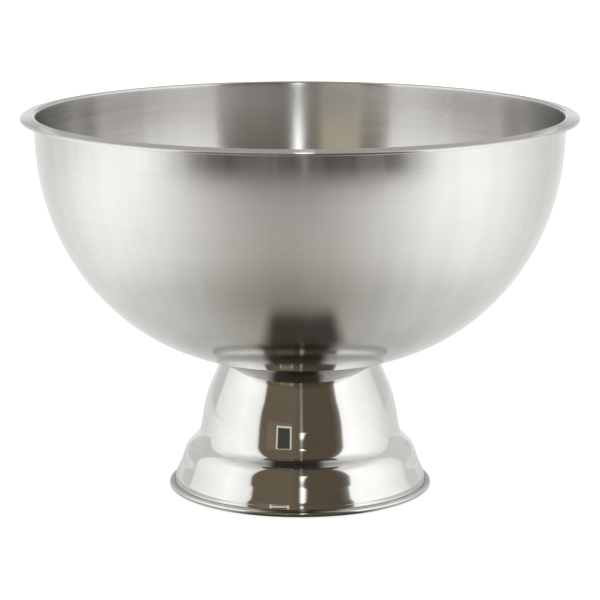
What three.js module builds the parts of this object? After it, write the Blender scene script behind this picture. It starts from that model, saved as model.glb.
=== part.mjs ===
// Stainless steel punch bowl on a bell-shaped foot. Millimetres, +Z up, origin at the centre of the base.
// The pieces stack up from the table: the foot stands on its rolled edge, the bowl's flat bottom sits on
// the foot's top web over a thin seat washer, and one stud and nut under the bowl draws them together.
import * as THREE from "three";

// Sheet and fixing sizes
const BOWL_SHEET = 1.0;
const FOOT_SHEET = 0.8;
const GAP = 0.1; // between the faces of stacked pieces
const HOLE_CLEARANCE = 0.3; // radial, around the stud
const TURN_SIDES = 48; // facets round the two large spun pieces
const FIXING_SIDES = 24; // facets round the small turned pieces
const CHORD_ERROR = 0.2; // between a bend and its facets
const CHORD_ERROR_SHARE = 0.15; // of the bend's radius, at most
const FEWEST_FACETS = 2;

// Bowl, all on its outer face: flat bottom, side of three tangent curves, short upright wall, lip
const BOTTOM_RADIUS = 80;
const BOTTOM_CORNER = 6;
const BOTTOM_CORNER_TURN = 18.6;
const LOWER_SIDE = { radius: 148, turn: 23.0 };
const MIDDLE_SIDE = { radius: 167, turn: 31.1 };
const UPPER_SIDE = { radius: 187, turn: 17.3 };
const WALL_HEIGHT = 9.3;
const LIP_BEND = 1.0;
const LIP_DROOP = 9;
const LIP_WIDTH = 7.5;
const LIP_EDGE_BEND = 0.4;
const LIP_EDGE_TURN = 70;
const LIP_EDGE_DEPTH = 0.7;

// Foot, all on its outer face, from the rolled edge up
const BASE_INNER_RADIUS = 92.7;
const BASE_FLAT = 1.2;
const BEAD_RADIUS = 1.9;
const BRIM_WIDTH = 1.8;
const BRIM_SLOPE = 8;
const BRIM_CORNER = 1.2;
const SKIRT_FOOT = { length: 1.6, slope: 7.6 };
const SKIRT_FLARE = { radius: 12, length: 9.0, slope: 23.6 };
const SKIRT_WALL = { radius: 10.4, length: 5.5, slope: 15.9 };
const STEP = { radius: 17.3, length: 1.2, slope: 50.2 };
const WAIST = { radius: 16.4, length: 11.9, slope: 9.1 };
const BELL = { radius: 88, length: 18.11, slope: 22.6 };
const SHOULDER_BEND = 13;

// Fixing: an M8 stud on the bowl, with standard washers and nut under the foot's web
const STUD_RADIUS = 3.9;
const STUD_TIP_CHAMFER = 0.8;
const STUD_PAST_NUT = 3;
const STUD_FLANGE = { radius: 6, thickness: 1.0 };
const SEAT_WASHER = { inner: 7, outer: 43, thickness: 1.2 };
const SPREADER = { radius: 33, thickness: 1.5, bend: 2, lipAngle: 60, lip: 3 };
const FLAT_WASHER = { outer: 12, thickness: 1.6 };
const SPRING_WASHER = { outer: 7.4, thickness: 2.0, split: 12 };
const NUT = { sides: 6, acrossFlats: 13, height: 6.5 };

const STUD_HOLE = STUD_RADIUS + HOLE_CLEARANCE;
const radians = THREE.MathUtils.degToRad;

// One face of a bent sheet, drawn as it is walked: straight lengths and bends, left turns positive.
class SheetFace {
  constructor(radius, level, heading = 0) {
    this.points = [new THREE.Vector2(radius, level)];
    this.heading = radians(heading);
  }

  get end() {
    return this.points.at(-1);
  }

  line(length) {
    const step = new THREE.Vector2(Math.cos(this.heading), Math.sin(this.heading)).multiplyScalar(length);
    this.points.push(this.end.clone().add(step));
    return this;
  }

  bend(radius, degrees) {
    const side = Math.sign(degrees);
    const turn = radians(degrees);
    const facet = 2 * Math.acos(1 - Math.min(CHORD_ERROR / radius, CHORD_ERROR_SHARE));
    const steps = Math.max(FEWEST_FACETS, Math.ceil(Math.abs(turn) / facet));
    const centre = new THREE.Vector2(-Math.sin(this.heading), Math.cos(this.heading))
      .multiplyScalar(side * radius)
      .add(this.end);
    for (let i = 1; i <= steps; i++) {
      const h = this.heading + (turn * i) / steps;
      const spoke = new THREE.Vector2(Math.sin(h), -Math.cos(h)).multiplyScalar(side * radius);
      this.points.push(centre.clone().add(spoke));
    }
    this.heading += turn;
    return this;
  }

  // Turn to a wall that leans in by slope degrees from the vertical, then follow it.
  wall({ radius, length, slope }) {
    return this.bend(radius, 90 + slope - THREE.MathUtils.radToDeg(this.heading)).line(length);
  }

  // The sheet's other face, at its thickness to the left.
  otherFace(thickness) {
    return this.points.map((p, i) => {
      const before = p.clone().sub(this.points[Math.max(i - 1, 0)]).normalize();
      const after = this.points[Math.min(i + 1, this.points.length - 1)].clone().sub(p).normalize();
      const along = before.clone().add(after).normalize();
      const half = i && i < this.points.length - 1 ? along.dot(after) : 1;
      return new THREE.Vector2(p.x - (along.y * thickness) / half, p.y + (along.x * thickness) / half);
    });
  }

  // Closed section of the sheet, both faces and both edges.
  section(thickness) {
    const onAxis = this.points[0].x === 0;
    const ring = [...this.points, ...this.otherFace(thickness).reverse()];
    return onAxis ? ring : [...ring, ring[0]];
  }
}

const rectangle = (inner, outer, low, high) =>
  [[inner, low], [outer, low], [outer, high], [inner, high], [inner, low]].map(
    ([r, z]) => new THREE.Vector2(r, z),
  );

function spun(profile, sides) {
  return new THREE.LatheGeometry(profile, sides).rotateX(Math.PI / 2);
}

function circleHole(radius, sides) {
  const turn = (2 * Math.PI) / sides;
  return new THREE.Path(
    Array.from({ length: sides }, (_, i) =>
      new THREE.Vector2(radius * Math.cos(-i * turn), radius * Math.sin(-i * turn)),
    ),
  );
}

const steel = (color, roughness) => new THREE.MeshStandardMaterial({ color, roughness, metalness: 1 });
const SATIN_STEEL = steel(0xc9c8c4, 0.3);
const POLISHED_STEEL = steel(0xd6d6d4, 0.08);
const PLATED_STEEL = steel(0xb9bcc0, 0.35);
const BLACK_RUBBER = new THREE.MeshStandardMaterial({ color: 0x1c1c1c, roughness: 0.8, metalness: 0 });

const punchBowl = new THREE.Group();

function place(name, geometry, material, level = 0) {
  const mesh = new THREE.Mesh(geometry, material);
  mesh.name = name;
  mesh.position.z = level;
  punchBowl.add(mesh);
}

// Foot: rolled edge, brim, flared skirt, step, waist and bell, closed by a flat web with the stud's hole
function footFace() {
  const face = new SheetFace(BASE_INNER_RADIUS, 0)
    .line(BASE_FLAT)
    .bend(BEAD_RADIUS, 90)
    .bend(BEAD_RADIUS, 90 - BRIM_SLOPE)
    .line(BRIM_WIDTH)
    .bend(BRIM_CORNER, SKIRT_FOOT.slope + BRIM_SLOPE - 90)
    .line(SKIRT_FOOT.length)
    .wall(SKIRT_FLARE)
    .wall(SKIRT_WALL)
    .wall(STEP)
    .wall(WAIST)
    .wall(BELL)
    .bend(SHOULDER_BEND, 90 - BELL.slope);
  return face.line(face.end.x - STUD_HOLE);
}

const foot = footFace();
const webLevel = foot.end.y;
place("foot", spun(foot.section(FOOT_SHEET), TURN_SIDES), POLISHED_STEEL);

// Seat washer between the foot's web and the bowl's bottom
const seatLevel = webLevel + GAP;
place(
  "seat_washer",
  spun(rectangle(SEAT_WASHER.inner, SEAT_WASHER.outer, 0, SEAT_WASHER.thickness), FIXING_SIDES),
  BLACK_RUBBER,
  seatLevel,
);

// Bowl: flat bottom, curved side, upright wall, and a lip that droops outward to a turned-down edge
const bowl = new SheetFace(0, 0)
  .line(BOTTOM_RADIUS)
  .bend(BOTTOM_CORNER, BOTTOM_CORNER_TURN)
  .bend(LOWER_SIDE.radius, LOWER_SIDE.turn)
  .bend(MIDDLE_SIDE.radius, MIDDLE_SIDE.turn)
  .bend(UPPER_SIDE.radius, UPPER_SIDE.turn)
  .line(WALL_HEIGHT)
  .bend(LIP_BEND, -90 - LIP_DROOP)
  .line(LIP_WIDTH)
  .bend(LIP_EDGE_BEND, -LIP_EDGE_TURN)
  .line(LIP_EDGE_DEPTH);
const bowlLevel = seatLevel + SEAT_WASHER.thickness + GAP;
place("bowl", spun(bowl.section(BOWL_SHEET), TURN_SIDES), SATIN_STEEL, bowlLevel);

// Pieces under the web, each hung one gap below the last
let underside = webLevel - FOOT_SHEET;
function nextLevel(thickness) {
  underside -= GAP + thickness;
  return underside;
}

// Spreader plate: a disc with its edge bent down, which carries the nut's pull out across the thin web
const spreader = new SheetFace(STUD_HOLE, 0)
  .line(SPREADER.radius - STUD_HOLE)
  .bend(SPREADER.bend, -SPREADER.lipAngle)
  .line(SPREADER.lip);
place(
  "spreader_plate",
  spun(spreader.section(SPREADER.thickness), FIXING_SIDES),
  PLATED_STEEL,
  nextLevel(SPREADER.thickness),
);

place(
  "flat_washer",
  spun(rectangle(STUD_HOLE, FLAT_WASHER.outer, 0, FLAT_WASHER.thickness), FIXING_SIDES),
  PLATED_STEEL,
  nextLevel(FLAT_WASHER.thickness),
);

// Spring washer, clamped flat, with its split
function springWasherGeometry() {
  const halfSplit = radians(SPRING_WASHER.split) / 2;
  const shape = new THREE.Shape();
  shape.absarc(0, 0, SPRING_WASHER.outer, halfSplit, 2 * Math.PI - halfSplit, false);
  shape.absarc(0, 0, STUD_HOLE, 2 * Math.PI - halfSplit, halfSplit, true);
  shape.closePath();
  return new THREE.ExtrudeGeometry(shape, {
    depth: SPRING_WASHER.thickness,
    bevelEnabled: false,
    curveSegments: FIXING_SIDES,
  });
}
place("spring_washer", springWasherGeometry(), PLATED_STEEL, nextLevel(SPRING_WASHER.thickness));

function hexNutGeometry() {
  const corner = NUT.acrossFlats / 2 / Math.cos(Math.PI / NUT.sides);
  const shape = new THREE.Shape(
    Array.from({ length: NUT.sides }, (_, i) => {
      const angle = (i * 2 * Math.PI) / NUT.sides;
      return new THREE.Vector2(corner * Math.cos(angle), corner * Math.sin(angle));
    }),
  );
  shape.holes.push(circleHole(STUD_HOLE, FIXING_SIDES));
  return new THREE.ExtrudeGeometry(shape, { depth: NUT.height, bevelEnabled: false });
}
place("hex_nut", hexNutGeometry(), PLATED_STEEL, nextLevel(NUT.height));

// Stud: its flange is welded to the bowl's bottom, and its shank runs down through the whole stack
function studGeometry(length) {
  const flangeFace = length - STUD_FLANGE.thickness;
  const profile = [
    [0, 0],
    [STUD_RADIUS - STUD_TIP_CHAMFER, 0],
    [STUD_RADIUS, STUD_TIP_CHAMFER],
    [STUD_RADIUS, flangeFace],
    [STUD_FLANGE.radius, flangeFace],
    [STUD_FLANGE.radius, length],
    [0, length],
  ].map(([r, z]) => new THREE.Vector2(r, z));
  return spun(profile, FIXING_SIDES);
}
const studTip = underside - STUD_PAST_NUT;
place("weld_stud", studGeometry(bowlLevel - GAP - studTip), PLATED_STEEL, studTip);

export default punchBowl;
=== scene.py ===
import math

import bpy
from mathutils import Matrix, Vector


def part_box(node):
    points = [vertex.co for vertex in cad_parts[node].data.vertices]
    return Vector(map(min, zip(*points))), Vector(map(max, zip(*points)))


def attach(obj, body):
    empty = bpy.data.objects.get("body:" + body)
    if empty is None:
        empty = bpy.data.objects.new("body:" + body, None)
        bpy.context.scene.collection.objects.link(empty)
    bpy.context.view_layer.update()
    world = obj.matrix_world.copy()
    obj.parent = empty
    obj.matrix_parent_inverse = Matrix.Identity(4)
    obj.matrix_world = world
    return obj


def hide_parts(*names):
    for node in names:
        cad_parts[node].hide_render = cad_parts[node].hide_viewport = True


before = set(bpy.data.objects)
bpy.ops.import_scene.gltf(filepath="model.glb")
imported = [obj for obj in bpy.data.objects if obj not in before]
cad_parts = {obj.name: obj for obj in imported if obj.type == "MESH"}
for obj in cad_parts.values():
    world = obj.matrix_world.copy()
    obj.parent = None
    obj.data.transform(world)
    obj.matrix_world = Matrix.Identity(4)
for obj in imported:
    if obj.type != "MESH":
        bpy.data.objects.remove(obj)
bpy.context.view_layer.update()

# Punch bowl: a brushed stainless steel bowl bolted on a polished bell foot.
# Metres, +Z up, in the CAD frame, with the camera's side towards -Y.
MM = 0.001
BODY = "root"

# Where the pieces meet, from the CAD nodes
BOWL_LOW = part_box("bowl")[0]
FOOT_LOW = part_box("foot")[0]
SEAT_LOW, SEAT_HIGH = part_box("seat_washer")
SPREADER_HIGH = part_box("spreader_plate")[1]
FLAT_LOW, FLAT_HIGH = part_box("flat_washer")
SPRING_LOW, SPRING_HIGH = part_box("spring_washer")
NUT_LOW, NUT_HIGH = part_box("hex_nut")
STUD_LOW, STUD_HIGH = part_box("weld_stud")

# Sizes that more than one piece or function uses
HOLE_RADIUS = 4.2 * MM       # clearance round the M8 stud
SEAT_HOLE_RADIUS = 7.0 * MM
RING_CORNER = 0.25 * MM
JOIN_DISTANCE = 0.002 * MM   # points closer than this are one
ON_AXIS = 1e-9               # a radius below this lies on the axis

# Facets round the axis, which keep the bowl and the foot under 200,000 triangles each
BOWL_TURNS = 304
FOOT_TURNS = 272
SPREADER_TURNS = 128
RING_TURNS = 96
STUD_TURNS = 48


# ---- Camera --------------------------------------------------------------------------------------

CAMERA_PLACE = (0.0, -1.904, 0.516)
CAMERA_TILT = 11.27  # degrees below the horizon
CAMERA_LENS = 160.5
CAMERA_SENSOR = 36.0
CAMERA_CLIP = (0.05, 100.0)


def make_camera():
    data = bpy.data.cameras.new("camera")
    data.lens = CAMERA_LENS
    data.sensor_width = CAMERA_SENSOR
    data.clip_start, data.clip_end = CAMERA_CLIP
    camera = bpy.data.objects.new("camera", data)
    camera.location = CAMERA_PLACE
    camera.rotation_euler = (math.radians(90.0 - CAMERA_TILT), 0.0, 0.0)
    bpy.context.scene.collection.objects.link(camera)
    bpy.context.scene.camera = camera


make_camera()


# ---- Node trees written as expressions -----------------------------------------------------------


class Socket:
    """One output socket. Arithmetic on it, with numbers or other sockets, adds Math nodes to its tree."""

    def __init__(self, nodes, socket):
        self.nodes = nodes
        self.socket = socket

    def also(self, name):
        """Another output of the same node."""
        return Socket(self.nodes, self.socket.node.outputs[name])

    def math(self, operation, *values):
        return self.nodes.node("ShaderNodeMath", {"operation": operation}, dict(enumerate(values)))

    def __add__(self, other):
        return self.math("ADD", self, other)

    def __radd__(self, other):
        return self.math("ADD", other, self)

    def __sub__(self, other):
        return self.math("SUBTRACT", self, other)

    def __rsub__(self, other):
        return self.math("SUBTRACT", other, self)

    def __mul__(self, other):
        return self.math("MULTIPLY", self, other)

    def __rmul__(self, other):
        return self.math("MULTIPLY", other, self)

    def __truediv__(self, other):
        return self.math("DIVIDE", self, other)

    def __rtruediv__(self, other):
        return self.math("DIVIDE", other, self)

    def __mod__(self, other):
        return self.math("FLOORED_MODULO", self, other)

    def __pow__(self, other):
        return self.math("POWER", self, other)

    def __gt__(self, other):
        return self.math("GREATER_THAN", self, other)

    def __lt__(self, other):
        return self.math("LESS_THAN", self, other)


class Nodes:
    """A node tree. node() adds a node, sets its settings, then its sockets, and returns its output."""

    def __init__(self, tree):
        self.tree = tree
        tree.nodes.clear()

    def node(self, kind, settings=None, sockets=None, output=0):
        made = self.tree.nodes.new(kind)
        for name, value in (settings or {}).items():
            if name == "stops":
                self.set_stops(made.color_ramp, value)
            else:
                setattr(made, name, value)
        for name, value in (sockets or {}).items():
            if isinstance(value, Socket):
                self.tree.links.new(value.socket, made.inputs[name])
            else:
                made.inputs[name].default_value = value
        return Socket(self, made.outputs[output]) if made.outputs else made

    def spread(self, value, low, high, to_low=0.0, to_high=1.0):
        """value from low..high to to_low..to_high, held at the ends."""
        sockets = {"Value": value, "From Min": low, "From Max": high, "To Min": to_low, "To Max": to_high}
        return self.node("ShaderNodeMapRange", {"interpolation_type": "SMOOTHSTEP"}, sockets)

    def blend(self, mask, first, second):
        sockets = {"Factor": mask, "A": first, "B": second}
        return self.node("ShaderNodeMix", {"data_type": "RGBA"}, sockets, output="Result")

    @staticmethod
    def set_stops(ramp, stops):
        while len(ramp.elements) < len(stops):
            ramp.elements.new(0.5)
        for element, (place, shade) in zip(ramp.elements, stops):
            element.position = place
            element.color = (*shade, 1.0) if isinstance(shade, tuple) else (shade, shade, shade, 1.0)


class Finish(Nodes):
    """A procedural material."""

    def __init__(self, name):
        self.material = bpy.data.materials.new(name)
        self.material.use_nodes = True
        super().__init__(self.material.node_tree)

    def object_place(self):
        return self.node("ShaderNodeTexCoord", output="Object")

    def attribute(self, name):
        return self.node("ShaderNodeAttribute", {"attribute_name": name}, output="Fac")

    def vector(self, x, y, z):
        return self.node("ShaderNodeCombineXYZ", sockets={"X": x, "Y": y, "Z": z})

    def noise(self, place, scale, detail, roughness):
        sockets = {"Vector": place, "Scale": scale, "Detail": detail, "Roughness": roughness}
        return self.node("ShaderNodeTexNoise", sockets=sockets)

    def bump(self, height, strength, distance):
        sockets = {"Height": height, "Strength": strength, "Distance": distance}
        return self.node("ShaderNodeBump", sockets=sockets)

    def ending_in(self, shader):
        self.node("ShaderNodeOutputMaterial", sockets={"Surface": shader})
        return self.material

    def surface(self, **sockets):
        """Ends the material in a Principled shader; underscores stand for spaces in socket names."""
        named = {name.replace("_", " "): value for name, value in sockets.items()}
        return self.ending_in(self.node("ShaderNodeBsdfPrincipled", sockets=named))

    def glow(self, colour, strength):
        return self.node("ShaderNodeEmission", sockets={"Color": colour, "Strength": strength})


# ---- Finishes ------------------------------------------------------------------------------------

# Two rings pressed into the foot's brim, by their walk along its sheet from the edge it stands on
FINE_GROOVE_WALK = 7.7 * MM
FINE_GROOVE_DEPTH, FINE_GROOVE_WIDTH = 0.14 * MM, 0.16 * MM
GUTTER_WALK = 9.2 * MM
GUTTER_DEPTH, GUTTER_WIDTH = 0.3 * MM, 0.4 * MM


def round_the_axis(finish):
    """Where a point lies round the Z axis, as X and Y on a unit circle, and how far out it is."""
    x = finish.node("ShaderNodeSeparateXYZ", sockets={"Vector": finish.object_place()})
    y = x.also("Y")
    radius = (x * x + y * y + ON_AXIS) ** 0.5
    return x / radius, y / radius, radius


def brushed_bowl_finish():
    """Satin stainless steel: fine lines brushed round the bowl, strongest inside, smoother below it."""
    steel = Finish("satin_steel_brushed_round")
    across, along, radius = round_the_axis(steel)
    walk = steel.attribute("along")
    inside = steel.attribute("inside")
    hair = steel.noise(steel.vector(across * 2.4, along * 2.4, walk * 2600.0), 1.0, 3.0, 0.6)
    line = steel.noise(steel.vector(across * 1.2, along * 1.2, walk * 620.0), 1.0, 2.0, 0.55)
    band = steel.noise(steel.vector(across * 0.5, along * 0.5, walk * 90.0), 1.0, 2.0, 0.5)
    smudge = steel.noise(steel.vector(across * 12.0, along * 12.0, walk * 4.0), 1.0, 3.0, 0.55)
    tone = steel.spread(line * (0.25 + inside * 0.2) + band * 0.15 + smudge * 0.6, 0.36, 0.64)
    dull, bright = (0.59, 0.58, 0.56, 1.0), (0.625, 0.615, 0.6, 1.0)
    colour = steel.blend(tone, dull, bright)
    wiped = steel.spread(smudge, 0.35, 0.7, -0.015, 0.03)
    up_the_side = steel.spread(radius, 0.13, 0.17)
    satin = up_the_side.math("MAXIMUM", up_the_side, inside)
    outside_roughness = 0.09 + satin * (0.04 + wiped)
    inside_roughness = 0.23 + (line - 0.5) * 0.08
    roughness = outside_roughness * (1.0 - inside) + inside_roughness * inside
    lines = (hair * 0.5 + line * 0.35 + band * 0.1) * (0.08 + inside * 0.92)
    normal = steel.bump(lines, 0.1, 0.01 * MM)
    return steel.surface(
        Base_Color=colour, Metallic=1.0, Roughness=roughness, Anisotropic=1.0,
        Anisotropic_Rotation=0.25, Normal=normal,
    )


def polished_foot_finish():
    """Mirror-polished stainless steel with the faint rings of spinning, a few wiped marks, and painted
    shade in the brim's gutter and fine groove.
    """
    steel = Finish("polished_steel_mirror")
    across, along, radius = round_the_axis(steel)
    walk = steel.attribute("along")
    ring = steel.noise(steel.vector(across * 0.7, along * 0.7, walk * 140.0), 1.0, 1.0, 0.4)
    mark = steel.noise(steel.object_place(), 22.0, 4.0, 0.6)
    dull, bright, groove_shade_colour = (0.61, 0.605, 0.59, 1.0), (0.66, 0.655, 0.64, 1.0), (0.07, 0.065, 0.055, 1.0)
    colour = steel.blend(steel.spread(mark, 0.4, 0.7), dull, bright)
    # Painted shade: the base colour darkens to near black along the brim's gutter and fine groove, on the
    # outer face only.
    from_gutter = walk.math("ABSOLUTE", walk - GUTTER_WALK)
    from_groove = walk.math("ABSOLUTE", walk - FINE_GROOVE_WALK)
    groove_shade = steel.spread(from_gutter, 0.2 * MM, 0.6 * MM, 0.65, 0.0)
    groove_shade = groove_shade.math("MAXIMUM", groove_shade, steel.spread(from_groove, 0.08 * MM, 0.22 * MM, 0.5, 0.0))
    groove_shade = groove_shade * (1.0 - steel.attribute("inside"))
    colour = steel.blend(groove_shade, colour, groove_shade_colour)
    roughness = 0.045 + steel.spread(mark, 0.45, 0.75, 0.0, 0.04)
    normal = steel.bump(ring, 0.05, 0.1 * MM)
    return steel.surface(Base_Color=colour, Metallic=1.0, Roughness=roughness, Normal=normal)


def plated_steel_finish():
    """Bright zinc plate: a cool grey with a faint yellow bloom and fine grain."""
    plate = Finish("plated_steel_bright_zinc")
    place = plate.object_place()
    bloom = plate.noise(place, 90.0, 2.0, 0.5)
    grain = plate.noise(place, 1400.0, 2.0, 0.6)
    cool, yellowish = (0.55, 0.57, 0.6, 1.0), (0.66, 0.64, 0.58, 1.0)
    colour = plate.blend(plate.spread(bloom, 0.35, 0.65), cool, yellowish)
    roughness = 0.28 + grain * 0.12
    normal = plate.bump(grain, 0.15, 0.03 * MM)
    return plate.surface(Base_Color=colour, Metallic=1.0, Roughness=roughness, Normal=normal)


def black_rubber_finish():
    """Matt black moulded rubber with a fine grain."""
    rubber = Finish("black_rubber_matt")
    place = rubber.object_place()
    grain = rubber.noise(place, 1800.0, 3.0, 0.6)
    dust = rubber.noise(place, 60.0, 3.0, 0.6)
    dusty = rubber.spread(dust, 0.5, 0.8)
    black, greyish = (0.018, 0.018, 0.019, 1.0), (0.045, 0.044, 0.042, 1.0)
    colour = rubber.blend(dusty, black, greyish)
    normal = rubber.bump(grain, 0.25, 0.05 * MM)
    return rubber.surface(Base_Color=colour, Roughness=0.72 + dusty * 0.15, Normal=normal)


# ---- Shapes as node trees ------------------------------------------------------------------------


class Shape(Nodes):
    """A Geometry Nodes tree that takes a geometry and gives one back, with named inputs."""

    def __init__(self, name, inputs):
        tree = bpy.data.node_groups.new(name, "GeometryNodeTree")
        super().__init__(tree)
        tree.interface.new_socket("Geometry", in_out="INPUT", socket_type="NodeSocketGeometry")
        for label, kind, value in inputs:
            made = tree.interface.new_socket(label, in_out="INPUT", socket_type=kind)
            if value is not None:
                made.default_value = value
        tree.interface.new_socket("Geometry", in_out="OUTPUT", socket_type="NodeSocketGeometry")
        self.inlet = self.node("NodeGroupInput")

    def input(self, label):
        return self.inlet.also(label)

    def finish(self, geometry, material):
        real = self.node("GeometryNodeRealizeInstances", sockets={"Geometry": geometry})
        painted = self.node("GeometryNodeSetMaterial", sockets={"Geometry": real, "Material": material})
        self.node("NodeGroupOutput", sockets={"Geometry": painted})
        return self.tree

    def grid(self, rows, turns):
        """A sheet of rows by turns + 1 points, with each point's row and its angle round the axis.
        The last column closes on the first. The angle runs down, so the faces point outwards."""
        columns = turns + 1
        sockets = {"Vertices X": rows, "Vertices Y": columns}
        sheet = self.node("GeometryNodeMeshGrid", sockets=sockets, output="Mesh")
        index = self.node("GeometryNodeInputIndex")
        column = index % columns
        row = (index - column) / columns
        return sheet, row, (1.0 - column / turns) * (2.0 * math.pi)

    def turned(self, sheet, radius, angle, level):
        """Puts the sheet's points round the axis."""
        x = radius * self.cosine(angle)
        y = radius * self.sine(angle)
        place = self.node("ShaderNodeCombineXYZ", sockets={"X": x, "Y": y, "Z": level})
        return self.node("GeometryNodeSetPosition", sockets={"Geometry": sheet, "Position": place})

    def joined(self, geometry):
        """Joins the seam and the points that fall together on the axis, and shades the result smooth."""
        sockets = {"Geometry": geometry, "Distance": JOIN_DISTANCE}
        closed = self.node("GeometryNodeMergeByDistance", sockets=sockets)
        return self.node("GeometryNodeSetShadeSmooth", sockets={"Geometry": closed})

    def cosine(self, angle):
        return angle.math("COSINE", angle)

    def sine(self, angle):
        return angle.math("SINE", angle)


def spun_piece_tree():
    """Spins a section, whose points come in order with their walk along it, once round the Z axis.
    With a width across flats, the spun solid is cut to a hexagon, as a nut is cut from round bar."""
    shape = Shape("spun_piece", [
        ("Turns", "NodeSocketInt", RING_TURNS),
        ("Across Flats", "NodeSocketFloat", 0.0),
        ("Finish", "NodeSocketMaterial", None),
    ])
    section = shape.inlet
    rows = shape.node("GeometryNodeAttributeDomainSize", sockets={"Geometry": section})
    sheet, row, angle = shape.grid(rows, shape.input("Turns"))

    def from_section(value, kind):
        sockets = {"Geometry": section, "Value": value, "Index": row}
        return shape.node("GeometryNodeSampleIndex", {"data_type": kind, "domain": "POINT"}, sockets)

    def named(name):
        sockets = {"Name": name}
        return shape.node("GeometryNodeInputNamedAttribute", {"data_type": "FLOAT"}, sockets)

    place = from_section(shape.node("GeometryNodeInputPosition"), "FLOAT_VECTOR")
    radius = shape.node("ShaderNodeSeparateXYZ", sockets={"Vector": place})
    level = radius.also("Z")
    flats = shape.input("Across Flats")
    half_side = math.pi / 6.0
    off_flat = (angle + half_side) % (2.0 * half_side) - half_side
    hexagon = flats * 0.5 / shape.cosine(off_flat)
    cut = radius.math("MINIMUM", radius, hexagon)
    uncut = flats < JOIN_DISTANCE
    radius = radius * uncut + cut * (1.0 - uncut)
    for name in ("along", "inside"):
        settings = {"data_type": "FLOAT", "domain": "POINT"}
        sockets = {"Geometry": sheet, "Name": name, "Value": from_section(named(name), "FLOAT")}
        sheet = shape.node("GeometryNodeStoreNamedAttribute", settings, sockets)
    spun = shape.turned(sheet, radius, angle, level)
    return shape.finish(shape.joined(spun), shape.input("Finish"))


def threaded_stud_tree():
    """A section spun round the Z axis, with a screw thread cut into its shank."""
    shape = Shape("threaded_stud", [
        ("Turns", "NodeSocketInt", STUD_TURNS),
        ("Pitch", "NodeSocketFloat", 0.00125),
        ("Thread Depth", "NodeSocketFloat", 0.0006),
        ("Thread Low", "NodeSocketFloat", 0.0),
        ("Thread High", "NodeSocketFloat", 0.01),
        ("Finish", "NodeSocketMaterial", None),
    ])
    section = shape.inlet
    rows = shape.node("GeometryNodeAttributeDomainSize", sockets={"Geometry": section})
    sheet, row, angle = shape.grid(rows, shape.input("Turns"))
    sockets = {"Geometry": section, "Value": shape.node("GeometryNodeInputPosition"), "Index": row}
    place = shape.node("GeometryNodeSampleIndex", {"data_type": "FLOAT_VECTOR"}, sockets)
    radius = shape.node("ShaderNodeSeparateXYZ", sockets={"Vector": place})
    level = radius.also("Z")
    pitch = shape.input("Pitch")
    phase = (level / pitch - angle / (2.0 * math.pi)) % 1.0
    groove = 1.0 - phase.math("ABSOLUTE", phase - 0.5) * 2.0
    turns_in = (level - shape.input("Thread Low")) / pitch
    turns_out = (shape.input("Thread High") - level) / pitch
    threaded = turns_in.math("MINIMUM", turns_in, turns_out)
    threaded = threaded.math("MINIMUM", threaded, 1.0)
    threaded = threaded.math("MAXIMUM", threaded, 0.0)
    cut = radius - groove * threaded * shape.input("Thread Depth")
    spun = shape.turned(sheet, cut.math("MAXIMUM", cut, 0.0), angle, level)
    return shape.finish(shape.joined(spun), shape.input("Finish"))


def split_ring_tree():
    """A ring of square wire with a split, as a spring washer."""
    shape = Shape("split_ring", [
        ("Middle Radius", "NodeSocketFloat", 0.006),
        ("Width", "NodeSocketFloat", 0.003),
        ("Height", "NodeSocketFloat", 0.002),
        ("Corner", "NodeSocketFloat", 0.0002),
        ("Level", "NodeSocketFloat", 0.0),
        ("Split", "NodeSocketFloat", 0.2),
        ("Finish", "NodeSocketMaterial", None),
    ])
    split = shape.input("Split")
    sockets = {
        "Resolution": RING_TURNS, "Radius": shape.input("Middle Radius"),
        "Start Angle": split / 2.0, "Sweep Angle": 2.0 * math.pi - split,
    }
    ring = shape.node("GeometryNodeCurveArc", {"mode": "RADIUS"}, sockets)
    sockets = {"Width": shape.input("Width"), "Height": shape.input("Height")}
    wire = shape.node("GeometryNodeCurvePrimitiveQuadrilateral", sockets=sockets)
    sockets = {"Curve": wire, "Radius": shape.input("Corner"), "Count": 4}
    wire = shape.node("GeometryNodeFilletCurve", {"mode": "POLY"}, sockets)
    sockets = {"Curve": ring, "Profile Curve": wire, "Fill Caps": True}
    bent = shape.node("GeometryNodeCurveToMesh", sockets=sockets)
    lift = shape.node("ShaderNodeCombineXYZ", sockets={"Z": shape.input("Level")})
    sockets = {"Geometry": bent, "Translation": lift}
    lifted = shape.node("GeometryNodeTransform", sockets=sockets)
    return shape.finish(lifted, shape.input("Finish"))


def shaped(name, tree, settings, source=None):
    """Runs a shape's tree on a source mesh and gives the result as a plain mesh object of that name."""
    mesh = source or bpy.data.meshes.new(name + "_start")
    start = bpy.data.objects.new(name + "_start", mesh)
    bpy.context.scene.collection.objects.link(start)
    modifier = start.modifiers.new("shape", "NODES")
    modifier.node_group = tree
    for item in tree.interface.items_tree:
        if item.item_type == "SOCKET" and item.in_out == "INPUT" and item.name in settings:
            modifier[item.identifier] = settings[item.name]
    evaluated = start.evaluated_get(bpy.context.evaluated_depsgraph_get())
    made = bpy.data.meshes.new_from_object(evaluated)
    made.name = name
    start.modifiers.remove(modifier)
    bpy.data.objects.remove(start)
    piece = bpy.data.objects.new(name, made)
    bpy.context.scene.collection.objects.link(piece)
    return piece


# ---- Sections ------------------------------------------------------------------------------------

EDGE_STEPS = 6
EDGE_PROUD = 0.33  # of the sheet's thickness
CORNER_STEPS = 5


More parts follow.
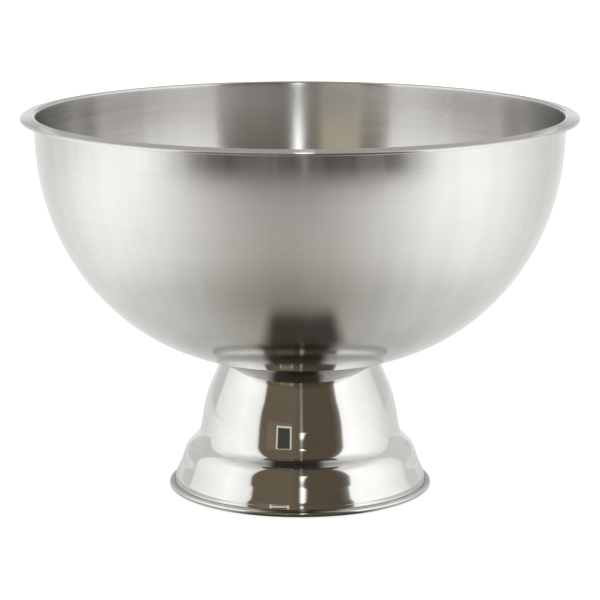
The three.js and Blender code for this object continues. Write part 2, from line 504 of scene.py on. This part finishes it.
class SheetFace:
    """One face of a bent sheet, drawn as it is walked: lengths and bends, left turns positive."""

    CHORD_ERROR = 0.004 * MM
    LONGEST_STEP = 2.5 * MM
    WIDEST_FACET = 0.2  # radians of a bend
    FEWEST_FACETS = 3

    def __init__(self, radius, level, heading=0.0):
        self.points = [(radius, level)]
        self.heading = math.radians(heading)

    @property
    def end(self):
        return self.points[-1]

    def line(self, length, longest_step=LONGEST_STEP):
        steps = max(1, math.ceil(length / longest_step))
        r, z = self.end
        for i in range(1, steps + 1):
            go = length * i / steps
            self.points.append((r + go * math.cos(self.heading), z + go * math.sin(self.heading)))
        return self

    def bend(self, radius, degrees):
        side = math.copysign(1.0, degrees)
        turn = math.radians(degrees)
        to_chord_error = 2.0 * math.acos(1.0 - min(self.CHORD_ERROR / radius, 0.5))
        facet = min(to_chord_error, self.LONGEST_STEP / radius, self.WIDEST_FACET)
        steps = max(self.FEWEST_FACETS, math.ceil(abs(turn) / facet))
        r = self.end[0] - side * radius * math.sin(self.heading)
        z = self.end[1] + side * radius * math.cos(self.heading)
        for i in range(1, steps + 1):
            h = self.heading + turn * i / steps
            self.points.append((r + side * radius * math.sin(h), z - side * radius * math.cos(h)))
        self.heading += turn
        return self

    def wall(self, radius, length, slope):
        """Turns to a wall that leans in by slope degrees from the vertical, then follows it."""
        return self.bend(radius, 90.0 + slope - math.degrees(self.heading)).line(length)

    def other_face(self, thickness):
        """The sheet's other face, at its thickness to the left."""
        face = []
        last = len(self.points) - 1
        for i, (r, z) in enumerate(self.points):
            before = direction(self.points[max(i - 1, 0)], self.points[max(i, 1)])
            after = direction(self.points[min(i, last - 1)], self.points[min(i + 1, last)])
            along = direction((0.0, 0.0), (before[0] + after[0], before[1] + after[1]))
            half = along[0] * after[0] + along[1] * after[1]
            face.append((r - along[1] * thickness / half, z + along[0] * thickness / half))
        return face

    def section(self, thickness):
        """The closed section as rows of radius, level, walk along the face and face: 0 outer, 1 inner."""
        outer = with_walk(self.points, 0.0)
        inner = with_walk(self.other_face(thickness), 1.0)[::-1]
        rows = outer + round_edge(outer[-1], inner[0], thickness) + inner
        if self.points[0][0] > ON_AXIS:
            rows += round_edge(inner[-1], outer[0], thickness) + outer[:1]
        return rows


def pressed(rows, place, depth, width):
    """The section with a groove pressed into its outer face at a walk along it."""
    reach = 3.0 * width
    result = list(rows)
    for i in range(1, len(rows) - 1):
        r, z, walk, face = rows[i]
        if face == 0.0 and abs(walk - place) < reach:
            push = depth * math.exp(-((walk - place) / width) ** 2)
            along = direction(rows[i - 1], rows[i + 1])
            result[i] = (r - along[1] * push, z + along[0] * push, walk, face)
    return result


def direction(a, b):
    length = math.hypot(b[0] - a[0], b[1] - a[1])
    return (b[0] - a[0]) / length, (b[1] - a[1]) / length


def with_walk(points, face):
    walk = 0.0
    rows = []
    for i, (r, z) in enumerate(points):
        if i:
            walk += math.dist(points[i - 1], (r, z))
        rows.append((r, z, walk, face))
    return rows


def round_edge(start, end, thickness):
    """The sheet's cut edge, dressed to a low half round between its two faces."""
    middle = ((start[0] + end[0]) / 2.0, (start[1] + end[1]) / 2.0)
    to_start = (start[0] - middle[0], start[1] - middle[1])
    across = direction(start, end)
    out = (across[1], -across[0])
    rows = []
    for i in range(1, EDGE_STEPS):
        t = i / EDGE_STEPS
        inwards = math.cos(math.pi * t)
        proud = thickness * EDGE_PROUD * math.sin(math.pi * t)
        r = middle[0] + to_start[0] * inwards + out[0] * proud
        z = middle[1] + to_start[1] * inwards + out[1] * proud
        rows.append((r, z, start[2], start[3] + (end[3] - start[3]) * t))
    return rows


def plain_rows(points):
    """Section rows for points that need no walk and have no inner face."""
    return [(r, z, 0.0, 0.0) for r, z in points]


def rounded_outline(corners, radius):
    """A closed outline of straight sides with its corners rounded, as section rows."""
    points = []
    for i, here in enumerate(corners):
        into = direction(corners[i - 1], here)
        out = direction(here, corners[(i + 1) % len(corners)])
        for j in range(CORNER_STEPS + 1):
            t = j / CORNER_STEPS
            before, after = radius * (1.0 - t) ** 2, radius * t ** 2
            r = here[0] - into[0] * before + out[0] * after
            z = here[1] - into[1] * before + out[1] * after
            points.append((r, z))
    return plain_rows(points + points[:1])


def section_mesh(name, rows):
    """A mesh of loose points in order, which carries each point's walk and face as attributes."""
    mesh = bpy.data.meshes.new(name + "_section")
    mesh.from_pydata([(r, 0.0, z) for r, z, _, _ in rows], [], [])
    for label, column in (("along", 2), ("inside", 3)):
        attribute = mesh.attributes.new(label, "FLOAT", "POINT")
        attribute.data.foreach_set("value", [row[column] for row in rows])
    return mesh


# ---- Pieces --------------------------------------------------------------------------------------

SPUN = spun_piece_tree()
STUD = threaded_stud_tree()
SPLIT_RING = split_ring_tree()
SATIN_STEEL = brushed_bowl_finish()
POLISHED_STEEL = polished_foot_finish()
PLATED_STEEL = plated_steel_finish()
BLACK_RUBBER = black_rubber_finish()


def hand_over(piece, node):
    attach(piece, BODY)
    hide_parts(node)


def spun_piece(name, rows, turns, finish, across_flats=0.0):
    settings = {"Turns": turns, "Across Flats": across_flats, "Finish": finish}
    return shaped(name, SPUN, settings, section_mesh(name, rows))


def make_bowl():
    """Flat bottom, curved side, short upright wall, and a lip that droops to a turned edge."""
    face = (
        SheetFace(0.0, BOWL_LOW.z)
        .line(80.0 * MM)
        .bend(6.0 * MM, 18.6)
        .bend(148.0 * MM, 23.0)
        .bend(167.0 * MM, 31.1)
        .bend(187.0 * MM, 17.3)
        .line(9.3 * MM)
        .bend(1.0 * MM, -99.0)
        .line(7.5 * MM)
        .bend(0.4 * MM, -70.0)
        .line(0.7 * MM)
    )
    sheet = 1.0 * MM
    return spun_piece("brushed_bowl", face.section(sheet), BOWL_TURNS, SATIN_STEEL)


def make_foot():
    """Rolled edge, brim, flared skirt, step, waist and bell, closed by a web with the stud's hole."""
    groove_step = 0.09 * MM
    face = (
        SheetFace(92.7 * MM, FOOT_LOW.z)
        .line(1.2 * MM)
        .bend(1.9 * MM, 90.0)
        .bend(1.9 * MM, 82.0)
        .line(1.8 * MM, groove_step)
        .bend(1.2 * MM, -74.4)
        .line(1.6 * MM)
        .wall(12.0 * MM, 9.0 * MM, 23.6)
        .wall(10.4 * MM, 5.5 * MM, 15.9)
        .wall(17.3 * MM, 1.2 * MM, 50.2)
        .wall(16.4 * MM, 11.9 * MM, 9.1)
        .wall(88.0 * MM, 18.11 * MM, 22.6)
        .bend(13.0 * MM, 67.4)
    )
    face.line(face.end[0] - HOLE_RADIUS)
    sheet = 0.8 * MM
    rows = pressed(face.section(sheet), FINE_GROOVE_WALK, FINE_GROOVE_DEPTH, FINE_GROOVE_WIDTH)
    rows = pressed(rows, GUTTER_WALK, GUTTER_DEPTH, GUTTER_WIDTH)
    return spun_piece("polished_foot", rows, FOOT_TURNS, POLISHED_STEEL)


def make_ring(name, low, high, inner, finish):
    """A flat ring that fills its CAD node's height and width."""
    corners = [(inner, low.z), (high.x, low.z), (high.x, high.z), (inner, high.z)]
    return spun_piece(name, rounded_outline(corners, RING_CORNER), RING_TURNS, finish)


def make_spreader():
    """A stiff flat disc with a bent-down edge."""
    sheet = 1.5 * MM
    face = (
        SheetFace(HOLE_RADIUS, SPREADER_HIGH.z - sheet)
        .line(28.8 * MM)
        .bend(2.0 * MM, -60.0)
        .line(3.0 * MM)
    )
    return spun_piece("spreader_disc", face.section(sheet), SPREADER_TURNS, PLATED_STEEL)


def make_nut():
    """A nut turned from round bar, with chamfered ends, then cut to its flats."""
    across_flats = 13.0 * MM
    corner = across_flats / math.sqrt(3.0)
    bore, lead_in = 4.0 * MM, 0.4 * MM
    chamfer_width, chamfer_height, chamfer_steps = 0.9 * MM, 0.5 * MM, 12
    low, high = NUT_LOW.z, NUT_HIGH.z
    face = [(bore + lead_in, low)]
    for i in range(chamfer_steps + 1):
        t = i / chamfer_steps
        face.append((corner - chamfer_width * (1.0 - t), low + chamfer_height * t))
    top = [(r, low + high - z) for r, z in face[::-1]]
    inside = [(bore, high - lead_in), (bore, low + lead_in)]
    rows = plain_rows(face + top + inside + face[:1])
    return spun_piece("nut", rows, RING_TURNS, PLATED_STEEL, across_flats)


def make_stud():
    """Flanged weld stud with a rolled M8 thread up to the bowl's seat."""
    shank, tip = 3.9 * MM, 0.8 * MM
    flange, edge = 1.0 * MM, 0.2 * MM
    pitch = 1.25 * MM
    rows_per_turn = 10
    low, high, rim = STUD_LOW.z, STUD_HIGH.z, STUD_HIGH.x
    run = high - flange - low - tip
    steps = math.ceil(run / (pitch / rows_per_turn))
    outline = [(0.0, low), (shank - tip, low)]
    outline += [(shank, low + tip + run * i / steps) for i in range(steps + 1)]
    outline += [(rim - edge, high - flange), (rim, high - flange + edge)]
    outline += [(rim, high - edge), (rim - edge, high), (0.0, high)]
    settings = {
        "Turns": STUD_TURNS, "Pitch": pitch, "Thread Depth": 0.65 * MM,
        "Thread Low": low + 0.2 * MM, "Thread High": high - 2.0 * MM, "Finish": PLATED_STEEL,
    }
    return shaped("stud", STUD, settings, section_mesh("stud", plain_rows(outline)))


def make_spring_washer():
    """A ring of square wire that fills its CAD node, with its split on +X."""
    inner, outer = HOLE_RADIUS, SPRING_HIGH.y
    low, high = SPRING_LOW.z, SPRING_HIGH.z
    settings = {
        "Middle Radius": (inner + outer) / 2.0, "Width": outer - inner, "Height": high - low,
        "Corner": RING_CORNER, "Level": (low + high) / 2.0, "Split": math.radians(12.0),
        "Finish": PLATED_STEEL,
    }
    return shaped("split_washer", SPLIT_RING, settings)


hand_over(make_bowl(), "bowl")
hand_over(make_foot(), "foot")
seat = make_ring("rubber_seat", SEAT_LOW, SEAT_HIGH, SEAT_HOLE_RADIUS, BLACK_RUBBER)
hand_over(seat, "seat_washer")
hand_over(make_spreader(), "spreader_plate")
washer = make_ring("plain_washer", FLAT_LOW, FLAT_HIGH, HOLE_RADIUS, PLATED_STEEL)
hand_over(washer, "flat_washer")
hand_over(make_spring_washer(), "spring_washer")
hand_over(make_nut(), "hex_nut")
hand_over(make_stud(), "weld_stud")


# ---- Studio --------------------------------------------------------------------------------------

# Light that the steel mirrors, by compass degrees round the bowl: 0 is the camera's side, minus is
# its left. Two long side lights flank a dark room behind the camera; the backdrop is white.
GAP_LEFT, GAP_RIGHT = (0.19, 0.155, 0.11), (0.125, 0.1, 0.07)
ROOM_BY_AZIMUTH = [
    (-180, (1.05, 1.05, 1.05)), (-163, (1.0, 1.0, 1.0)), (-157, (0.82, 0.82, 0.81)),
    (-123, (0.8, 0.8, 0.79)), (-120, (1.15, 1.15, 1.14)), (-97, (1.34, 1.34, 1.33)),
    (-72, (1.5, 1.5, 1.49)), (-54, (1.34, 1.34, 1.32)), (-49.5, (1.15, 1.15, 1.13)),
    (-47.5, GAP_LEFT), (-8, GAP_LEFT), (6, GAP_RIGHT), (40, GAP_RIGHT),
    (46, (0.2, 0.18, 0.15)), (49, (0.4, 0.38, 0.34)), (51, (1.5, 1.5, 1.5)), (62, (1.6, 1.6, 1.6)),
    (90, (1.4, 1.4, 1.4)), (117, (1.08, 1.08, 1.08)), (122, (0.84, 0.84, 0.84)),
    (157, (0.84, 0.84, 0.84)), (163, (1.0, 1.0, 1.0)), (180, (1.05, 1.05, 1.05)),
]
DARK_ROOM_EDGE = (46.5, 49.5)      # degrees off the camera's side
LIGHTS_TOP = (32.0, 60.0)          # degrees up over which the side lights give way to the ceiling
DARK_TOP = (70.0, 84.0)            # and the dark room
CEILING = (0.82, 0.82, 0.82, 1.0)
BACKDROP_EDGE = (150.0, 165.0)     # degrees off the camera's side
BACKDROP_RISE = (2.0, 14.0)        # degrees up over which the backdrop gives way to its grey top
BACKDROP_TOP = (0.5, 0.5, 0.49, 1.0)

# Inside the dark room: a tall narrow light, a window and the doorway it is in
STRIP_AZIMUTH, STRIP_HALF_WIDTH, STRIP_CORE = 1.6, 2.4, 0.48
STRIP_ENDS, STRIP_END_FADE = (-14.0, 66.0), 2.0
STRIP_BRIGHTEST = 2.0
STRIP_BY_HEIGHT = [(-12, 0.9), (0, 1.4), (2.2, 1.2), (3.4, 0.25), (30, 0.2), (64, 0.1)]
DOORWAY_AZIMUTH, DOORWAY_HEIGHT = (-38.0, -10.0), (1.0, 11.0)
DOORWAY_SIDE_FADE, DOORWAY_END_FADE = 1.0, 1.5
DOORWAY_COLOUR = (0.24, 0.205, 0.135, 1.0)
WINDOW_AZIMUTH, WINDOW_HEIGHT = (-27.0, -10.0), (0.5, 8.5)
WINDOW_FRAME, WINDOW_FADE = 1.5, 0.4
FRAME_COLOUR, PANE_COLOUR = (1.05, 1.0, 0.82, 1.0), (0.07, 0.075, 0.07, 1.0)

# Light that the steel mirrors from the floor, by metres from the bowl's axis
FLOOR_NEAREST, FLOOR_FARTHEST = 0.1, 3.2
FLOOR_LOG_RANGE = math.log(FLOOR_FARTHEST / FLOOR_NEAREST)
FLOOR_IN_FRONT = [
    (0.12, (0.5, 0.48, 0.41)), (0.2, (0.36, 0.34, 0.29)), (0.25, (0.4, 0.38, 0.33)),
    (0.35, (0.56, 0.54, 0.5)), (0.5, (0.58, 0.56, 0.53)), (0.75, (0.53, 0.51, 0.49)),
    (1.0, (0.46, 0.44, 0.43)), (1.3, (0.29, 0.27, 0.26)), (1.65, (0.13, 0.12, 0.11)),
    (2.0, (0.07, 0.06, 0.055)), (3.1, (0.05, 0.04, 0.035)),
]
FLOOR_AT_SIDES = [
    (0.12, (0.66, 0.66, 0.65)), (0.15, (0.78, 0.78, 0.77)), (0.19, (0.85, 0.85, 0.84)),
    (0.25, (0.93, 0.93, 0.92)), (0.35, (1.28, 1.28, 1.27)), (0.6, (1.46, 1.46, 1.45)),
    (1.0, (1.52, 1.52, 1.51)), (2.5, (1.48, 1.48, 1.47)),
]
FLOOR_BEHIND = [
    (0.12, (0.74, 0.74, 0.73)), (0.2, (0.84, 0.84, 0.83)), (0.5, (0.95, 0.95, 0.94)),
    (2.5, (0.92, 0.92, 0.91)),
]
DARK_CENTRE = -5.0                 # degrees round that the dark front faces near the bowl
FAR_FROM = (0.8, 1.6)              # metres over which the near edges turn to the far ones
FRONT_EDGE_NEAR = (0.0, 75.0)      # degrees off the dark front over which the sides take over
FRONT_EDGE_FAR = (33.0, 69.0)
BACK_EDGE = (75.0, 135.0)          # and the back
SHADE = (0.03, 0.027, 0.02, 1.0)
FOOT_SHADE, FOOT_SHADE_MIDDLE = 0.92, 0.004
FOOT_SHADE_SIDE, FOOT_SHADE_END = (0.036, 0.06), (0.155, 0.21)
UNDER_BOWL_SHADE, UNDER_BOWL_EDGE = 0.93, (26.0, 42.0)
AFTER_ONE_MIRROR = 1.5             # rays deeper than this have met steel twice

FLOOR_HALF = 12.0
FLOOR_WHITE, FLOOR_GLOW = (0.85, 0.85, 0.85, 1.0), 0.6
WHITE = (1.0, 1.0, 1.0, 1.0)

# Upright cards over the bowl's mouth, which only its inside mirrors: start and end in plan, levels,
# colour and strength
MOUTH_CARDS = {
    "left_light_card": ((-0.168, -0.088), (-0.188, -0.025), (0.285, 0.56), WHITE, 1.5),
    "right_light_card": ((0.161, -0.103), (0.186, -0.035), (0.285, 0.56), WHITE, 1.5),
    "strip_card": ((-0.0035, -0.185), (0.0105, -0.185), (0.3, 0.5), (0.95, 0.98, 1.0, 1.0), 6.0),
    "curtain_card": ((-0.047, -0.183), (-0.13, -0.139), (0.3, 0.5), (0.82, 0.72, 0.52, 1.0), 0.95),
}

# A narrow level light in front of the foot
SKIRT_STRIP_MIDDLE, SKIRT_STRIP_HALF_WIDTH, SKIRT_STRIP_LEVEL = 0.006, 0.01, 0.06
SKIRT_STRIP_NEAR_EDGE, SKIRT_STRIP_FAR_EDGE = (-0.145, -0.13), (-0.23, -0.19)
SKIRT_STRIP_COLOUR, SKIRT_STRIP_GLOW = (0.92, 0.97, 1.0, 1.0), 1.7


def flat_card(name, corners, finish):
    mesh = bpy.data.meshes.new(name)
    mesh.from_pydata(corners, [], [(0, 1, 2, 3)])
    mesh.materials.append(finish)
    made = bpy.data.objects.new(name, mesh)
    bpy.context.scene.collection.objects.link(made)
    return made


def level_card(name, low_corner, high_corner, level, finish):
    (left, near), (right, far) = low_corner, high_corner
    corners = [(left, near, level), (right, near, level), (right, far, level), (left, far, level)]
    return flat_card(name, corners, finish)


def only_in_reflections(thing):
    thing.visible_camera = False
    thing.visible_diffuse = False
    thing.visible_shadow = False


def compass(x, y):
    """Degrees round the bowl, 0 on the camera's side."""
    return x.math("ARCTAN2", x, -1.0 * y) * (180.0 / math.pi)


def by_distance(tree, radius, table):
    """The table's colour at a distance from the axis, on a logarithmic scale."""
    reach = radius.math("LOGARITHM", radius / FLOOR_NEAREST, math.e) / FLOOR_LOG_RANGE
    stops = [(math.log(metres / FLOOR_NEAREST) / FLOOR_LOG_RANGE, shade) for metres, shade in table]
    return tree.node("ShaderNodeValToRGB", {"stops": stops}, {"Fac": reach})


def by_degrees(tree, angle, full_turn, table):
    """The table's colour at an angle, where the ramp spans a full turn or a half with 0 in the middle."""
    stops = [(degrees / full_turn + 0.5, shade) for degrees, shade in table]
    return tree.node("ShaderNodeValToRGB", {"stops": stops}, {"Fac": angle / full_turn + 0.5})


def between(tree, value, ends, fade):
    """1 between the ends, falling to 0 over the fade outside them."""
    low, high = ends
    return tree.spread(value, low - fade, low) * tree.spread(value, high, high + fade, 1.0, 0.0)


def strip_light(tree, around, up):
    """The tall narrow light's strength in a direction; its ramp holds shares of the brightest."""
    from_strip = around.math("ABSOLUTE", around - STRIP_AZIMUTH)
    across = tree.spread(from_strip, STRIP_CORE, STRIP_HALF_WIDTH, 1.0, 0.0)
    shares = [(degrees, level / STRIP_BRIGHTEST) for degrees, level in STRIP_BY_HEIGHT]
    colour = by_degrees(tree, up, 180.0, shares)
    return colour, across * between(tree, up, STRIP_ENDS, STRIP_END_FADE) * STRIP_BRIGHTEST


def room_light(tree, around, up):
    """The room's colour in a direction: walls, ceiling, backdrop, doorway and window."""
    room = by_degrees(tree, around, 360.0, ROOM_BY_AZIMUTH)
    off_axis = around.math("ABSOLUTE", around)
    in_dark = tree.spread(off_axis, *DARK_ROOM_EDGE, 1.0, 0.0)
    over = in_dark * tree.spread(up, *DARK_TOP) + (1.0 - in_dark) * tree.spread(up, *LIGHTS_TOP)
    room = tree.blend(over, room, CEILING)
    high_behind = tree.spread(off_axis, *BACKDROP_EDGE) * tree.spread(up, *BACKDROP_RISE)
    room = tree.blend(high_behind, room, BACKDROP_TOP)
    doorway_ends = between(tree, up, DOORWAY_HEIGHT, DOORWAY_END_FADE)
    doorway = between(tree, around, DOORWAY_AZIMUTH, DOORWAY_SIDE_FADE) * doorway_ends
    window_ends = between(tree, up, WINDOW_HEIGHT, WINDOW_FADE)
    window = between(tree, around, WINDOW_AZIMUTH, WINDOW_FADE) * window_ends
    pane_azimuth = (WINDOW_AZIMUTH[0] + WINDOW_FRAME, WINDOW_AZIMUTH[1] - WINDOW_FRAME)
    pane_height = (WINDOW_HEIGHT[0] + WINDOW_FRAME, WINDOW_HEIGHT[1] - WINDOW_FRAME)
    pane_ends = between(tree, up, pane_height, WINDOW_FADE)
    pane = between(tree, around, pane_azimuth, WINDOW_FADE) * pane_ends
    room = tree.blend(doorway, room, DOORWAY_COLOUR)
    room = tree.blend(window, room, FRAME_COLOUR)
    return tree.blend(pane, room, PANE_COLOUR)


def make_world():
    """The room as the steel mirrors it, and plain white for everything else."""
    world = bpy.data.worlds.new("studio")
    world.use_nodes = True
    bpy.context.scene.world = world
    sky = Nodes(world.node_tree)
    towards = sky.node("ShaderNodeTexCoord", output="Generated")
    x = sky.node("ShaderNodeSeparateXYZ", sockets={"Vector": towards})
    y, z = x.also("Y"), x.also("Z")
    around = compass(x, y)
    up = z.math("ARCSINE", z) * (180.0 / math.pi)
    mirrored = sky.node("ShaderNodeLightPath", output="Is Glossy Ray")
    seen = sky.blend(mirrored, WHITE, room_light(sky, around, up))
    strip, strength = strip_light(sky, around, up)
    sockets = {"Color": strip, "Strength": strength * mirrored}
    shine = sky.node("ShaderNodeBackground", sockets=sockets)
    light = sky.node("ShaderNodeBackground", sockets={"Color": seen, "Strength": 1.0})
    both = sky.node("ShaderNodeAddShader", sockets={0: light, 1: shine})
    sky.node("ShaderNodeOutputWorld", sockets={"Surface": both})


def mirrored_floor_finish():
    """What the steel mirrors of the floor: darker in front, lit from both sides."""
    paper = Finish("floor_in_reflections")
    x = paper.node("ShaderNodeSeparateXYZ", sockets={"Vector": paper.object_place()})
    y = x.also("Y")
    radius = (x * x + y * y) ** 0.5
    far = paper.spread(radius, *FAR_FROM)
    off_axis = compass(x, y) - DARK_CENTRE * (1.0 - far)
    off_axis = off_axis.math("ABSOLUTE", off_axis)
    front = by_distance(paper, radius, FLOOR_IN_FRONT)
    sides = by_distance(paper, radius, FLOOR_AT_SIDES)
    behind = by_distance(paper, radius, FLOOR_BEHIND)
    edge = [near + far * (away - near) for near, away in zip(FRONT_EDGE_NEAR, FRONT_EDGE_FAR)]
    colour = paper.blend(paper.spread(off_axis, *edge), front, sides)
    colour = paper.blend(paper.spread(off_axis, *BACK_EDGE), colour, behind)
    across = x.math("ABSOLUTE", x - FOOT_SHADE_MIDDLE)
    shaded = paper.spread(across, *FOOT_SHADE_SIDE, 1.0, 0.0)
    shaded = shaded * paper.spread(radius, *FOOT_SHADE_END, 1.0, 0.0) * (y < 0.0)
    colour = paper.blend(shaded * FOOT_SHADE, colour, SHADE)
    mirrored_twice = paper.node("ShaderNodeLightPath", output="Ray Depth") > AFTER_ONE_MIRROR
    under_bowl = mirrored_twice * paper.spread(off_axis, *UNDER_BOWL_EDGE, 1.0, 0.0)
    colour = paper.blend(under_bowl * UNDER_BOWL_SHADE, colour, SHADE)
    return paper.ending_in(paper.glow(colour, 1.0))


def pale_floor_finish():
    paper = Finish("pale_floor")
    return paper.surface(
        Base_Color=FLOOR_WHITE, Roughness=1.0, Emission_Color=FLOOR_WHITE, Emission_Strength=FLOOR_GLOW,
    )


def mouth_card(name, start, end, levels, colour, strength):
    low, high = levels
    corners = [(*start, low), (*end, low), (*end, high), (*start, high)]
    finish = Finish(name)
    only_in_reflections(flat_card(name, corners, finish.ending_in(finish.glow(colour, strength))))


def skirt_strip():
    """Seen from below only, so that the skirt mirrors it and the bowl does not."""
    finish = Finish("skirt_strip")
    x = finish.node("ShaderNodeSeparateXYZ", sockets={"Vector": finish.object_place()})
    y = x.also("Y")
    off_middle = x.math("ABSOLUTE", x - SKIRT_STRIP_MIDDLE)
    fade = finish.spread(off_middle, 0.0, SKIRT_STRIP_HALF_WIDTH, 1.0, 0.0)
    fade = fade * finish.spread(y, *SKIRT_STRIP_FAR_EDGE)
    fade = fade * finish.spread(y, *SKIRT_STRIP_NEAR_EDGE, 1.0, 0.0)
    glow = finish.glow(SKIRT_STRIP_COLOUR, fade * SKIRT_STRIP_GLOW)
    clear = finish.node("ShaderNodeBsdfTransparent")
    from_behind = finish.node("ShaderNodeNewGeometry", output="Backfacing")
    both = finish.node("ShaderNodeAddShader", sockets={0: glow, 1: clear})
    one_sided = finish.node("ShaderNodeMixShader", sockets={0: from_behind, 1: both, 2: clear})
    left = (SKIRT_STRIP_MIDDLE - SKIRT_STRIP_HALF_WIDTH, SKIRT_STRIP_NEAR_EDGE[1])
    right = (SKIRT_STRIP_MIDDLE + SKIRT_STRIP_HALF_WIDTH, SKIRT_STRIP_FAR_EDGE[0])
    strip = level_card("skirt_strip", left, right, SKIRT_STRIP_LEVEL, finish.ending_in(one_sided))
    only_in_reflections(strip)


def make_studio():
    bpy.context.scene.view_settings.view_transform = "Standard"
    make_world()
    low, high = (-FLOOR_HALF, -FLOOR_HALF), (FLOOR_HALF, FLOOR_HALF)
    floor = level_card("floor", low, high, 0.0, pale_floor_finish())
    floor.visible_glossy = False
    only_in_reflections(level_card("floor_in_reflections", low, high, 0.0, mirrored_floor_finish()))
    for name, card in MOUTH_CARDS.items():
        mouth_card(name, *card)
    skirt_strip()


make_studio()
